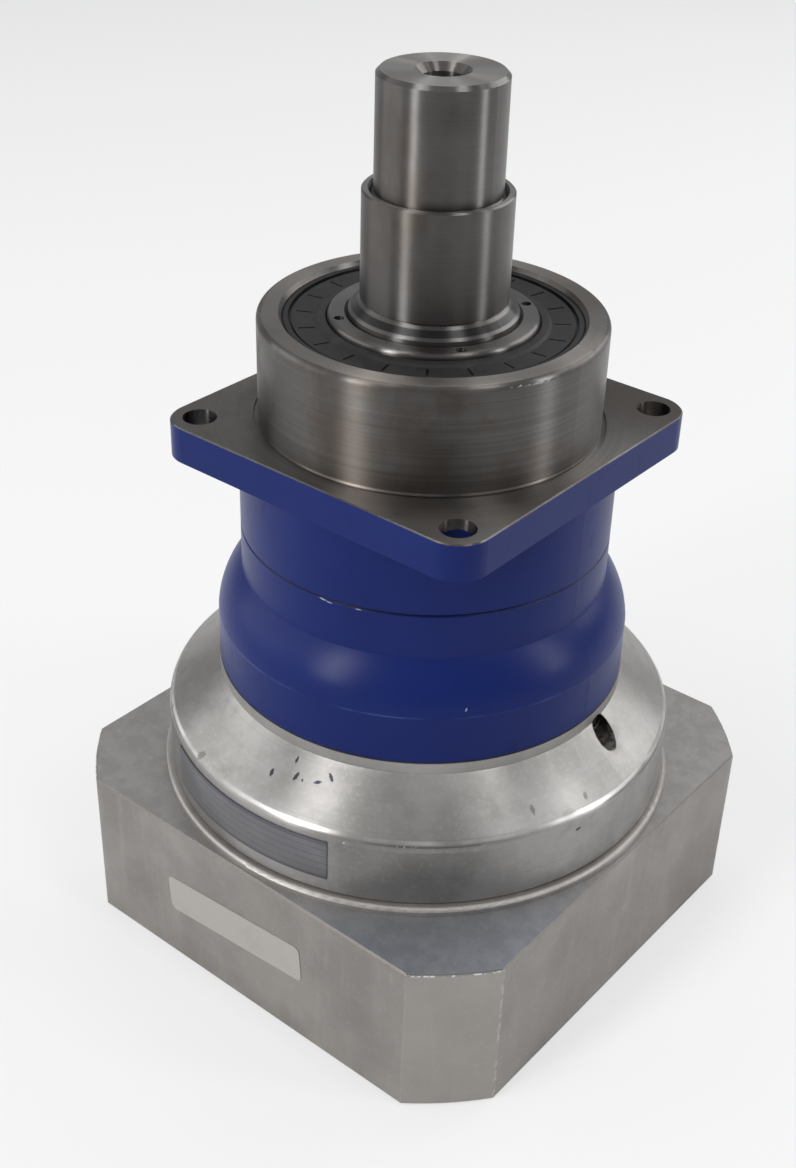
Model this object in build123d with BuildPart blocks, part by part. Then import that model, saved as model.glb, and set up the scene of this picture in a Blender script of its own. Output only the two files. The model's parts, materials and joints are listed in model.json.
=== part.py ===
from build123d import *
from math import acos, atan, cos, degrees, hypot, pi, radians, sin, sqrt, tan
import os

# Planetary gearbox for a servo motor, in millimetres.
# The origin is the centre of the motor adapter plate's underside.
# +Z runs along the output shaft, and the plate's sides face X and Y.

# Motor adapter plate
plate_side = 150.0
plate_thickness = 48.0
plate_corner_d = 189.0          # the corners are turned to this circle
plate_edge_chamfer = 0.5
boss_d = 148.0
boss_height = 2.5
boss_edge_r = 1.1
motor_pilot_d = 130.0
motor_pilot_depth = 6.0
motor_well_d = 104.0
motor_bolt_circle_d = 165.0
motor_thread_drill_d = 8.5
motor_thread_depth = 25.0
motor_bolt_count = 4
corner_turn = 45.0              # bolts in the corners, and the slots of the hub

# Input bell
bell_d = 144.0
bell_length = 34.7
bell_skirt_length = 19.5
bell_shoulder_r = 4.0
bell_cone_height = 12.0
bell_neck_d = 114.4
bell_cavity_d = 108.0
bell_web_thickness = 9.2
bell_web_bore_d = 72.0
bell_seam_chamfer = 0.6

# Access bore in the bell, for the key of the clamp screw
access_bore_d = 6.8
access_bore_drop = 5.7          # below the bell's top face
access_bore_turn = -12.0        # degrees from +X, seen from above
clamp_screw_offset = 17.4       # from the gearbox axis to the screw's axis

# Input hub, clamp ring and clamp screw
motor_shaft_d = 24.0
hub_sleeve_wall = 2.0
hub_sleeve_end = 62.0           # height of the hub's open end
hub_slot_width = 2.0
hub_slot_count = 4
hub_slot_land = 2.0             # left between a slot and the collar
hub_floor = 2.5
hub_collar_d = 45.0
hub_nose_d = 30.0
motor_shaft_reach = 36.0
clamp_ring_d = 58.0
clamp_ring_width = 12.0
clamp_slit_width = 2.5
clamp_screw_d = 6.0
clamp_screw_length = 18.0
clamp_screw_land = 0.6          # between the screw's head and the hub's sleeve

# Input seal and input bearing
input_seal_inset = 1.6
input_seal_width = 5.0
input_seal_d = 60.0
input_seal_gap = 0.2            # between the seal and the bearing
input_bearing_bore = 40.0
input_bearing_d = 62.0
input_bearing_width = 12.0
input_ball_d = 6.4
input_ball_count = 12
race_land = 1.6                 # from the ball's centre to a race's land
ball_cage_thickness = 2.0
ball_cage_rim = 1.4
ball_cage_reach = 1.2           # its fingers go past the balls' middle by this much
ball_play = 0.15
circlip_thickness = 1.75
circlip_bite = 1.8
circlip_width = 3.2
circlip_gap = 9.0
circlip_land = 0.6              # of the hub, above its circlip
hub_circlip_turn = 200.0
housing_circlip_turn = 20.0

# Ring gear housing
housing_foot_d = 114.0
housing_foot_height = 14.3
housing_foot_edge_r = 0.8
housing_collar_length = 12.7
housing_flare_bulge = 1.35      # how far the flare stands out of its chord
housing_wall = 4.3
housing_spigot_height = 2.0
seam_chamfer = 0.45

# Gear train
module = 1.5
sun_teeth = 18
planet_teeth = 18
ring_teeth = 54
planet_count = 3
pressure_angle = radians(20)
dedendum_factor = 1.25
ring_tip_relief = 0.25          # shortens the ring's teeth, clear of the planets' roots
backlash = 0.14                 # each tooth is this much thinner at the pitch circle
planet_width = 15.8
planet_pin_d = 10.0
planet_pin_chamfer = 0.6
needle_d = 3.0
needle_length = 13.6
needle_count = 12
washer_thickness = 0.5
washer_d = 17.0
sun_shank_d = 14.0
sun_shank_length = 11.4
ring_gear_width = 20.0
ring_gear_wall = 3.6
ring_gear_seat_depth = 15.6     # how deep it stands in its own housing
o_ring_section_d = 1.8
o_ring_edge_distance = 1.9

# Planet carrier, in one piece with the output shaft
carrier_gap = 1.25              # between the carrier and the ring gear's teeth
carrier_rear_disc = 5.0
carrier_front_disc = 6.0
carrier_bore_d = 32.0
carrier_bore_relief = 1.0       # the bore goes past the planets' windows by this much
carrier_float = 1.25            # between the circlips and the carrier

# Output bearings, a pair of tapered roller bearings
rear_bearing_bore = 50.0
rear_bearing_d = 80.0
rear_bearing_width = 18.0
front_bearing_bore = 45.0
front_bearing_d = 75.0
front_bearing_width = 19.0
bearing_web = 4.0
bearing_shoulder = 2.5          # height of the web's shoulders against the outer races
race_wall = 3.4                 # thickness of each race beside the middle of the rollers
roller_tilt = radians(14)
roller_length = 12.0
roller_spacing = 1.42           # in roller diameters, along the pitch circle
roller_shift = 0.6              # of the rollers towards the cone's large end
roller_head_play = 0.1          # between a roller's large end and its rib
roller_foot_play = 0.4          # between its small end and its rib
cup_setback = 3.5               # the cup is narrower than the cone by this much
race_edge = 0.4
cage_foot = 2.6                 # the cage goes past the rollers' small ends by this much
cage_head = 1.2                 # and past their large ends by this much
cage_window_play = 0.6
cage_thickness_share = 0.146    # the next four are shares of the rollers' diameter
cage_offset_share = 0.11        # from the rollers' axes outwards
large_rib_share = 0.268
small_rib_share = 0.122

# Output shaft, its nut and its sleeve
shaft_d = 32.0
shaft_projection = 89.0         # from the flange's face to the tip
shaft_tip_chamfer = 1.0
shaft_neck_shoulder = 1.0       # height of the shoulder against the front bearing
shaft_thread_d = 43.6
shaft_thread_lead = 1.3         # stands this far above the nut
shaft_thread_chamfer = 0.4
shoulder_cone_height = 2.5
centre_thread_drill_d = 10.2
centre_thread_depth = 28.0
centre_countersink_d = 13.8
sleeve_d = 37.8
sleeve_length = 28.1
sleeve_edge_chamfer = 0.4
sleeve_mouth_width = 0.8
sleeve_mouth_depth = 1.95
sleeve_seat_d = 33.0            # the shaft is this thick under its sleeve
sleeve_seat_drop = 0.6          # from the sleeve's top down to the end of that seat
nut_d = 54.0
nut_height = 9.7
nut_edge_r = 1.1
nut_bore_chamfer = 0.9
nut_hole_d = 2.6
nut_hole_depth = 4.0
nut_hole_circle_d = 49.2
nut_hole_turn = -36.0
nut_hole_count = 4

# Output housing
output_seal_d = 77.1
output_seal_gap = 1.6
output_seal_width = 6.7
output_seal_recess = 1.2
seal_mouth_flare = 0.8          # the seal's bore widens by this much at its mouth
seal_rib_count = 20
seal_rib_width = 0.6
seal_rib_depth = 0.5
pilot_d = 90.0
pilot_height = 28.5
pilot_edge_r = 1.6
face_relief_width = 1.3
face_relief_depth = 0.5
flange_side = 101.0
flange_thickness = 10.0
flange_corner_r = 9.0
flange_edge_chamfer = 0.4
flange_bolt_circle_d = 120.0
flange_hole_d = 9.0
flange_hole_count = 4

# Fasteners
plate_screw_d = 6.0
plate_screw_length = 50.0
plate_screw_seat = 14.0         # height of the head's seat in the plate
plate_screw_circle_d = 119.0
gearbox_screw_d = 5.0
gearbox_screw_length = 20.0
gearbox_screw_circle_d = 96.0
screw_count = 6
first_screw_turn = 30.0
dowel_d = 5.0
dowel_depth = 8.0               # into each of the two parts
dowel_chamfer = 0.5
dowel_circle_d = 130.0
dowel_turn = 75.0

# Clearances
seat_clearance = 0.02           # pressed and seated pieces
running_clearance = 0.05        # seal lips and rolling elements
thread_clearance = 0.03
side_clearance = 0.10           # planets between their washers
pocket_clearance = 0.8          # planets in the carrier's windows
hole_clearance = 0.25           # screws in plain holes
end_clearance = 0.3             # between ends that don't seat on each other
o_ring_side_clearance = 0.1
seal_floor_clearance = 0.1
carrier_room = 2.0              # around the carrier
carrier_floor_room = 0.5        # below the carrier
blind_end = 2.0                 # a blind hole goes past its screw by this much
cut_past = 1.0                  # a cutter goes past the face that it opens by this much

# Heights, stacked from the underside
plate_top = plate_thickness
bell_bottom = plate_top + boss_height
bell_top = bell_bottom + bell_length
input_seal_bottom = bell_top + input_seal_inset
input_bearing_bottom = input_seal_bottom + input_seal_width + input_seal_gap
input_bearing_top = input_bearing_bottom + input_bearing_width
circlip_top = input_bearing_top + circlip_thickness
carrier_bottom = circlip_top + carrier_float
pocket_bottom = carrier_bottom + carrier_rear_disc
planet_side_space = washer_thickness + side_clearance
planet_bottom = pocket_bottom + planet_side_space
planet_top = planet_bottom + planet_width
pocket_top = planet_top + planet_side_space
carrier_top = pocket_top + carrier_front_disc
ring_gear_bottom = (planet_bottom + planet_top - ring_gear_width) / 2
ring_gear_top = ring_gear_bottom + ring_gear_width
housing_seam = ring_gear_bottom + ring_gear_seat_depth
web_bottom = carrier_top + rear_bearing_width
web_top = web_bottom + bearing_web
front_bearing_top = web_top + front_bearing_width
nut_top = front_bearing_top + nut_height
output_seal_bottom = front_bearing_top + output_seal_gap
output_seal_top = output_seal_bottom + output_seal_width
pilot_top = output_seal_top + output_seal_recess
flange_face = pilot_top - pilot_height
flange_bottom = flange_face - flange_thickness
thread_top = nut_top + shaft_thread_lead
sleeve_bottom = thread_top + shoulder_cone_height
sleeve_top = sleeve_bottom + sleeve_length
shaft_tip = flange_face + shaft_projection
clamp_height = bell_top - access_bore_drop

# Gear geometry
sun_pitch_r = module * sun_teeth / 2
planet_pitch_r = module * planet_teeth / 2
ring_pitch_r = module * ring_teeth / 2
planet_circle_r = sun_pitch_r + planet_pitch_r
ring_root_r = ring_pitch_r + dedendum_factor * module
ring_tip_r = ring_pitch_r - module + ring_tip_relief
ring_gear_d = 2 * (ring_root_r + ring_gear_wall)
body_d = ring_gear_d + 2 * housing_wall
planet_tip_r = planet_pitch_r + module
carrier_d = 2 * (ring_tip_r - carrier_gap)
hub_sleeve_d = motor_shaft_d + 2 * hub_sleeve_wall
shaft_neck_d = front_bearing_bore + 2 * shaft_neck_shoulder
bearing_web_bore_d = min(front_bearing_d, rear_bearing_d) - 2 * bearing_shoulder

# Sections of the two shaft seals, as shares: first from the lip (0) to the outer wall (1),
# then from the back (0) to the face (1)
output_seal_outline = [
    (1, 0), (1, 0.94), (0.965, 1), (0.86, 1), (0.86, 0.85), (0.79, 0.85), (0.79, 0.94), (0.26, 0.895),
    (0.19, 0.97), (0.043, 1), (0, 0.925), (0.096, 0.73), (0, 0.28), (0.104, 0.09), (0.19, 0.18),
    (0.19, 0.657), (0.774, 0.657), (0.774, 0),
]
seal_ribs = (0.32, 0.69)        # where the ribs on the output seal's face start and end
seal_face = 0.895               # height of the face between them
input_seal_outline = [
    (1, 0), (1, 1), (0.2, 1), (0, 0.8), (0.12, 0.56), (0, 0.24), (0.16, 0.06), (0.27, 0.16),
    (0.27, 0.68), (0.8, 0.68), (0.8, 0),
]


def head_radius(thread_d):
    """Socket head cap screws have a head about 1.65 times their thread."""
    return 0.83 * thread_d


def socket_radius(thread_d):
    return 0.48 * thread_d


# The clamp screw's head seats just far enough along its axis to clear the hub's sleeve
head_side = clamp_screw_offset - head_radius(clamp_screw_d)
sleeve_side = hub_sleeve_d / 2 + clamp_screw_land
clamp_screw_seat = sqrt(max(0.0, sleeve_side ** 2 - head_side ** 2)) + clamp_screw_land


# Drawing helpers

def turned(points, mode=Mode.ADD):
    """Turns a closed profile of (radius, height) points about the gearbox axis."""
    with BuildSketch(Plane.XZ) as profile:
        with BuildLine():
            Polyline(*points, close=True)
        make_face()
    revolve(profile.sketch, axis=Axis.Z, mode=mode)


def turned_ring(inner_r, outer_r, bottom, top, mode=Mode.ADD):
    turned([(inner_r, bottom), (outer_r, bottom), (outer_r, top), (inner_r, top)], mode)


def turned_seal(outline, lip_r, outer_r, back, face):
    """Turns a seal from its outline in shares. back and face are heights."""
    turned([(lip_r + across * (outer_r - lip_r), back + along * (face - back)) for across, along in outline])


def polar_discs(circle_r, count, turn, disc_r, bottom, top, mode=Mode.ADD):
    """Round bosses or holes spaced evenly on a circle."""
    with BuildSketch(Plane.XY.offset(bottom)) as discs:
        with PolarLocations(circle_r, count, start_angle=turn):
            Circle(disc_r)
    extrude(discs.sketch, amount=top - bottom, mode=mode)


def at(radius, angle):
    return (radius * cos(angle), radius * sin(angle))


def planet_plane(number, height):
    """A plane on a planet's own axis, with X pointing away from the gearbox axis."""
    angle = 2 * pi * number / planet_count + pi / 2
    x, y = at(planet_circle_r, angle)
    return Plane(origin=(x, y, height), x_dir=(cos(angle), sin(angle), 0), z_dir=(0, 0, 1))


def access_plane(distance):
    """A plane square to the clamp screw's axis, at a distance along it towards the access bore."""
    turn = radians(access_bore_turn)
    along = Vector(cos(turn), sin(turn), 0)
    across = Vector(-sin(turn), cos(turn), 0)
    origin = across * clamp_screw_offset + along * distance + Vector(0, 0, clamp_height)
    return Plane(origin=origin, x_dir=(0, 0, 1), z_dir=along)


# Gear teeth

def involute(base_r, radius):
    angle = acos(min(1.0, base_r / radius))
    return tan(angle) - angle


def half_tooth_angle(teeth, radius, thinning):
    """Half the angle that a tooth covers at a radius, for an involute flank."""
    pitch_r = module * teeth / 2
    base_r = pitch_r * cos(pressure_angle)
    at_pitch = pi / (2 * teeth) - thinning / (2 * pitch_r)
    return at_pitch + involute(base_r, pitch_r) - involute(base_r, max(radius, base_r))


def draw_outer_teeth(teeth):
    """The outline of a gear, with the middle of its first tooth on local X."""
    pitch_r = module * teeth / 2
    base_r = pitch_r * cos(pressure_angle)
    root_r = pitch_r - dedendum_factor * module
    tip_r = pitch_r + module
    base_half = half_tooth_angle(teeth, base_r, backlash)
    pitch_half = half_tooth_angle(teeth, pitch_r, backlash)
    tip_half = half_tooth_angle(teeth, tip_r, backlash)
    with BuildLine() as outline:
        for tooth in range(teeth):
            middle = 2 * pi * tooth / teeth
            next_start = middle + 2 * pi / teeth - base_half
            Line(at(root_r, middle - base_half), at(base_r, middle - base_half))
            ThreePointArc(at(base_r, middle - base_half), at(pitch_r, middle - pitch_half),
                          at(tip_r, middle - tip_half))
            Line(at(tip_r, middle - tip_half), at(tip_r, middle + tip_half))
            ThreePointArc(at(tip_r, middle + tip_half), at(pitch_r, middle + pitch_half),
                          at(base_r, middle + base_half))
            Polyline(at(base_r, middle + base_half), at(root_r, middle + base_half), at(root_r, next_start))
    make_face(outline.edges())


def draw_inner_teeth():
    """The opening of the ring gear. A tooth space has its middle on every planet's radius."""
    root_half = half_tooth_angle(ring_teeth, ring_root_r, -backlash)
    pitch_half = half_tooth_angle(ring_teeth, ring_pitch_r, -backlash)
    tip_half = half_tooth_angle(ring_teeth, ring_tip_r, -backlash)
    with BuildLine() as outline:
        for space in range(ring_teeth):
            middle = 2 * pi * space / ring_teeth + pi / 2
            next_start = middle + 2 * pi / ring_teeth - tip_half
            ThreePointArc(at(ring_tip_r, middle - tip_half), at(ring_pitch_r, middle - pitch_half),
                          at(ring_root_r, middle - root_half))
            Line(at(ring_root_r, middle - root_half), at(ring_root_r, middle + root_half))
            ThreePointArc(at(ring_root_r, middle + root_half), at(ring_pitch_r, middle + pitch_half),
                          at(ring_tip_r, middle + tip_half))
            Line(at(ring_tip_r, middle + tip_half), at(ring_tip_r, next_start))
    make_face(outline.edges())


# Casings

def make_motor_adapter_plate():
    with BuildPart() as motor_adapter_plate:
        with BuildSketch():
            Rectangle(plate_side, plate_side)
            Circle(plate_corner_d / 2, mode=Mode.INTERSECT)
        extrude(amount=plate_thickness)
        flat_faces = motor_adapter_plate.faces().filter_by(Axis.Z)
        chamfer(flat_faces.edges(), length=plate_edge_chamfer)
        with BuildSketch(Plane.XY.offset(plate_top)):
            Circle(boss_d / 2)
        extrude(amount=boss_height)
        top_face = motor_adapter_plate.faces().filter_by(Axis.Z).sort_by(Axis.Z)[-1]
        fillet(top_face.edges(), radius=boss_edge_r)
        turned_ring(0, motor_pilot_d / 2, 0, motor_pilot_depth, Mode.SUBTRACT)
        turned_ring(0, motor_well_d / 2, 0, bell_bottom, Mode.SUBTRACT)
        polar_discs(motor_bolt_circle_d / 2, motor_bolt_count, corner_turn, motor_thread_drill_d / 2,
                    0, motor_thread_depth, Mode.SUBTRACT)
        screw_r = plate_screw_d / 2
        polar_discs(plate_screw_circle_d / 2, screw_count, first_screw_turn, screw_r + hole_clearance,
                    plate_screw_seat, bell_bottom, Mode.SUBTRACT)
        polar_discs(plate_screw_circle_d / 2, screw_count, first_screw_turn,
                    head_radius(plate_screw_d) + hole_clearance, motor_pilot_depth, plate_screw_seat,
                    Mode.SUBTRACT)
        polar_discs(dowel_circle_d / 2, 2, dowel_turn, dowel_d / 2 + seat_clearance,
                    bell_bottom - dowel_depth, bell_bottom, Mode.SUBTRACT)
    return motor_adapter_plate


def make_input_bell():
    skirt_r = bell_d / 2
    neck_r = bell_neck_d / 2
    skirt_top = bell_bottom + bell_skirt_length
    cone_top = skirt_top + bell_cone_height
    cavity_top = bell_top - bell_web_thickness
    with BuildPart() as input_bell:
        with BuildSketch(Plane.XZ) as profile:
            with BuildLine():
                Polyline((bell_cavity_d / 2, bell_bottom), (skirt_r - bell_seam_chamfer, bell_bottom),
                         (skirt_r, bell_bottom + bell_seam_chamfer), (skirt_r, skirt_top),
                         (neck_r, cone_top), (neck_r, bell_top),
                         (bell_web_bore_d / 2, bell_top), (bell_web_bore_d / 2, cavity_top),
                         (bell_cavity_d / 2, cavity_top), close=True)
            make_face()
            shoulder = profile.vertices().group_by(Axis.X)[-1].sort_by(Axis.Y)[-1]
            fillet(shoulder, radius=bell_shoulder_r)
        revolve(axis=Axis.Z)
        polar_discs(plate_screw_circle_d / 2, screw_count, first_screw_turn,
                    plate_screw_d / 2 + thread_clearance, bell_bottom,
                    plate_screw_seat + plate_screw_length + blind_end, Mode.SUBTRACT)
        polar_discs(gearbox_screw_circle_d / 2, screw_count, first_screw_turn,
                    gearbox_screw_d / 2 + hole_clearance, cavity_top, bell_top, Mode.SUBTRACT)
        polar_discs(dowel_circle_d / 2, 2, dowel_turn, dowel_d / 2 + seat_clearance,
                    bell_bottom, bell_bottom + dowel_depth, Mode.SUBTRACT)
        with BuildSketch(access_plane(clamp_screw_offset)):
            Circle(access_bore_d / 2)
        extrude(amount=bell_d / 2, mode=Mode.SUBTRACT)
    return input_bell


def make_ring_gear_housing():
    foot_r = housing_foot_d / 2
    body_r = body_d / 2
    foot_top = bell_top + housing_foot_height
    collar_bottom = housing_seam - housing_collar_length
    chord_x = foot_r - body_r
    chord_z = collar_bottom - foot_top
    bulge = housing_flare_bulge / hypot(chord_x, chord_z)
    flare_middle = ((foot_r + body_r) / 2 + chord_z * bulge,
                    (foot_top + collar_bottom) / 2 + chord_x * bulge)
    seat_r = ring_gear_d / 2
    bearing_r = input_bearing_d / 2 + seat_clearance
    seal_r = input_seal_d / 2 + seat_clearance
    spigot_r = bell_web_bore_d / 2 - seat_clearance
    carrier_room_r = carrier_d / 2 + carrier_room
    cavity_bottom = carrier_bottom - carrier_floor_room
    with BuildPart() as ring_gear_housing:
        with BuildSketch(Plane.XZ) as profile:
            with BuildLine():
                Polyline((spigot_r, bell_top), (foot_r - seam_chamfer, bell_top),
                         (foot_r, bell_top + seam_chamfer), (foot_r, foot_top))
                ThreePointArc((foot_r, foot_top), flare_middle, (body_r, collar_bottom))
                Polyline((body_r, collar_bottom), (body_r, housing_seam - seam_chamfer),
                         (body_r - seam_chamfer, housing_seam), (seat_r, housing_seam),
                         (seat_r, ring_gear_bottom), (carrier_room_r, ring_gear_bottom),
                         (carrier_room_r, cavity_bottom), (bearing_r, cavity_bottom),
                         (bearing_r, input_bearing_bottom), (seal_r, input_bearing_bottom),
                         (seal_r, bell_top - housing_spigot_height),
                         (spigot_r, bell_top - housing_spigot_height), (spigot_r, bell_top))
            make_face()
            foot_edge = profile.vertices().group_by(Axis.X)[-1].sort_by(Axis.Y)[-1]
            fillet(foot_edge, radius=housing_foot_edge_r)
        revolve(axis=Axis.Z)
        turned_ring(bearing_r - cut_past, bearing_r + circlip_bite, input_bearing_top,
                    circlip_top + thread_clearance, Mode.SUBTRACT)
        screw_end = bell_top - bell_web_thickness + gearbox_screw_length
        polar_discs(gearbox_screw_circle_d / 2, screw_count, first_screw_turn,
                    gearbox_screw_d / 2 + thread_clearance, bell_top, screw_end + blind_end, Mode.SUBTRACT)
    return ring_gear_housing


def make_ring_gear():
    outer_r = ring_gear_d / 2 - seat_clearance
    half_groove = o_ring_section_d / 2 + o_ring_side_clearance
    with BuildPart() as ring_gear:
        with BuildSketch(Plane.XY.offset(ring_gear_bottom)):
            Circle(outer_r)
        extrude(amount=ring_gear_width)
        with BuildSketch(Plane.XY.offset(ring_gear_bottom)):
            draw_inner_teeth()
        extrude(amount=ring_gear_width, mode=Mode.SUBTRACT)
        for middle in o_ring_heights():
            turned_ring(o_ring_groove_r(), outer_r + cut_past, middle - half_groove,
                        middle + half_groove, Mode.SUBTRACT)
    return ring_gear


def o_ring_heights():
    return (ring_gear_bottom + o_ring_edge_distance, ring_gear_top - o_ring_edge_distance)


def o_ring_groove_r():
    return ring_gear_d / 2 - seat_clearance - o_ring_section_d


def make_o_ring(middle):
    with BuildPart() as o_ring:
        with BuildSketch(Plane.XZ):
            with Locations((o_ring_groove_r() + o_ring_section_d / 2, middle)):
                Circle(o_ring_section_d / 2 - seat_clearance / 2)
        revolve(axis=Axis.Z)
    return o_ring


def make_output_housing():
    body_r = body_d / 2
    pilot_r = pilot_d / 2
    ring_seat_r = ring_gear_d / 2
    rear_seat_r = rear_bearing_d / 2 + seat_clearance
    front_seat_r = front_bearing_d / 2 + seat_clearance
    web_r = bearing_web_bore_d / 2
    seal_r = output_seal_d / 2 + seat_clearance
    seal_floor = output_seal_bottom - seal_floor_clearance
    mouth_r = seal_r + seal_mouth_flare
    with BuildPart() as output_housing:
        with BuildSketch(Plane.XZ):
            with BuildLine():
                Polyline((0, housing_seam), (body_r - seam_chamfer, housing_seam),
                         (body_r, housing_seam + seam_chamfer), (body_r, flange_face),
                         (pilot_r, flange_face), (pilot_r, pilot_top), (0, pilot_top), close=True)
            make_face()
        revolve(axis=Axis.Z)
        with BuildSketch(Plane.XY.offset(flange_bottom)):
            RectangleRounded(flange_side, flange_side, flange_corner_r)
            with PolarLocations(flange_bolt_circle_d / 2, flange_hole_count, start_angle=corner_turn):
                Circle(flange_hole_d / 2, mode=Mode.SUBTRACT)
        extrude(amount=flange_thickness)
        flange_top = output_housing.faces(Select.LAST).filter_by(Axis.Z).sort_by(Axis.Z)[-1]
        chamfer(flange_top.outer_wire().edges(), length=flange_edge_chamfer)
        nose_edge =output_housing.edges().filter_by(GeomType.CIRCLE).group_by(Axis.Z)[-1]
        fillet(nose_edge, radius=pilot_edge_r)
        turned_ring(pilot_r, pilot_r + face_relief_width, flange_face - face_relief_depth,
                    flange_face + cut_past, Mode.SUBTRACT)
        turned([(0, housing_seam - cut_past), (ring_seat_r, housing_seam - cut_past),
                (ring_seat_r, ring_gear_top), (rear_seat_r, ring_gear_top), (rear_seat_r, web_bottom),
                (web_r, web_bottom), (web_r, web_top), (front_seat_r, web_top),
                (front_seat_r, seal_floor), (seal_r, seal_floor), (seal_r, output_seal_top),
                (mouth_r, pilot_top), (mouth_r, pilot_top + cut_past), (0, pilot_top + cut_past)],
               Mode.SUBTRACT)
    return output_housing


# Output shaft group

def make_output_shaft():
    rear_seat_r = rear_bearing_bore / 2 - seat_clearance
    front_seat_r = front_bearing_bore / 2 - seat_clearance
    shaft_r = shaft_d / 2
    sleeve_seat_r = sleeve_seat_d / 2
    sleeve_seat_top = sleeve_top - sleeve_seat_drop
    thread_r = shaft_thread_d / 2
    shoulder_r = sleeve_d / 2 - sleeve_edge_chamfer
    tap_r = centre_thread_drill_d / 2
    mouth_r = centre_countersink_d / 2
    with BuildPart() as output_shaft:
        turned([(0, carrier_bottom), (carrier_d / 2, carrier_bottom), (carrier_d / 2, carrier_top),
                (rear_seat_r, carrier_top), (rear_seat_r, web_bottom), (shaft_neck_d / 2, web_bottom),
                (shaft_neck_d / 2, web_top), (front_seat_r, web_top), (front_seat_r, front_bearing_top),
                (thread_r, front_bearing_top), (thread_r, thread_top - shaft_thread_chamfer),
                (thread_r - shaft_thread_chamfer, thread_top),
                (shoulder_r, sleeve_bottom), (sleeve_seat_r, sleeve_bottom),
                (sleeve_seat_r, sleeve_seat_top - (sleeve_seat_r - shaft_r)), (shaft_r, sleeve_seat_top),
                (shaft_r, shaft_tip - shaft_tip_chamfer), (shaft_r - shaft_tip_chamfer, shaft_tip),
                (mouth_r, shaft_tip), (tap_r, shaft_tip - (mouth_r - tap_r)),
                (tap_r, shaft_tip - centre_thread_depth), (0, shaft_tip - centre_thread_depth - tap_r / 2)])
        turned_ring(0, carrier_bore_d / 2, carrier_bottom, pocket_top + carrier_bore_relief, Mode.SUBTRACT)
        for number in range(planet_count):
            with BuildSketch(planet_plane(number, pocket_bottom)):
                Circle(planet_tip_r + pocket_clearance)
            extrude(amount=pocket_top - pocket_bottom, mode=Mode.SUBTRACT)
        for number in range(planet_count):
            with BuildSketch(planet_plane(number, carrier_bottom)):
                Circle(planet_pin_d / 2 + seat_clearance)
            extrude(amount=carrier_top - carrier_bottom, mode=Mode.SUBTRACT)
    return output_shaft


def make_shaft_sleeve():
    inner_r = sleeve_seat_d / 2 + seat_clearance
    outer_r = sleeve_d / 2
    edge = sleeve_edge_chamfer
    with BuildPart() as shaft_sleeve:
        turned([(inner_r, sleeve_bottom), (outer_r - edge, sleeve_bottom), (outer_r, sleeve_bottom + edge),
                (outer_r, sleeve_top - edge), (outer_r - edge, sleeve_top),
                (inner_r + sleeve_mouth_width, sleeve_top), (inner_r, sleeve_top - sleeve_mouth_depth)])
    return shaft_sleeve


def make_shaft_nut():
    bore_r = shaft_thread_d / 2 + thread_clearance
    outer_r = nut_d / 2
    with BuildPart() as shaft_nut:
        with BuildSketch(Plane.XZ) as profile:
            with BuildLine():
                Polyline((bore_r, front_bearing_top), (outer_r, front_bearing_top), (outer_r, nut_top),
                         (bore_r + nut_bore_chamfer, nut_top), (bore_r, nut_top - nut_bore_chamfer),
                         close=True)
            make_face()
            corner = profile.vertices().group_by(Axis.X)[-1].sort_by(Axis.Y)[-1]
            fillet(corner, radius=nut_edge_r)
        revolve(axis=Axis.Z)
        polar_discs(nut_hole_circle_d / 2, nut_hole_count, nut_hole_turn, nut_hole_d / 2,
                    nut_top - nut_hole_depth, nut_top, Mode.SUBTRACT)
    return shaft_nut


def make_output_shaft_seal():
    lip_r = nut_d / 2 + running_clearance
    outer_r = output_seal_d / 2
    section = outer_r - lip_r
    rib_start = lip_r + seal_ribs[0] * section
    rib_end = lip_r + seal_ribs[1] * section
    rib_floor = output_seal_bottom + seal_face * output_seal_width - seal_rib_depth
    with BuildPart() as output_shaft_seal:
        turned_seal(output_seal_outline, lip_r, outer_r, output_seal_bottom, output_seal_top)
        with BuildSketch(Plane.XY.offset(rib_floor)):
            with PolarLocations((rib_start + rib_end) / 2, seal_rib_count):
                Rectangle(rib_end - rib_start, seal_rib_width)
        extrude(amount=output_seal_top - rib_floor, mode=Mode.SUBTRACT)
    return output_shaft_seal


# Tapered roller bearings
# Each is drawn with its small end at local zero and its large end outwards.

class TaperBearing:
    def __init__(self, bore_d, outer_d, width, plane):
        self.bore_r = bore_d / 2
        self.outer_r = outer_d / 2
        self.width = width
        self.plane = plane
        self.pitch_r = (bore_d + outer_d) / 4
        self.roller_d = (outer_d - bore_d) / 2 - 2 * race_wall
        self.roller_count = int(2 * pi * self.pitch_r / (roller_spacing * self.roller_d))
        self.middle = (width - cup_setback) / 2 + roller_shift
        self.apex = self.middle - self.pitch_r / tan(roller_tilt)
        self.slant = self.pitch_r / sin(roller_tilt)
        self.roller_cone = atan(self.roller_d / 2 / self.slant)

    def raceway(self, side, height, gap):
        """The radius of a race at a height: side -1 is the inner race, +1 the outer one."""
        slope = tan(roller_tilt + side * self.roller_cone)
        return (height - self.apex) * slope + side * gap

    def roller_plane(self, number, distance):
        """A plane square to a roller's axis, at a distance from the apex."""
        angle = 2 * pi * number / self.roller_count
        out = Vector(cos(angle), sin(angle), 0)
        along = out * sin(roller_tilt) + Vector(0, 0, cos(roller_tilt))
        origin = Vector(0, 0, self.apex) + along * distance
        side = Vector(-sin(angle), cos(angle), 0)
        local = Plane(origin=origin, x_dir=side, z_dir=along)
        return self.plane * local.location

    def roller_end(self, end):
        """The height of a roller's end beside the inner race: end +1 is the large one."""
        distance = self.slant + end * roller_length / 2
        return self.apex + distance * cos(roller_tilt) + distance * tan(self.roller_cone) * sin(roller_tilt)


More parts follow.
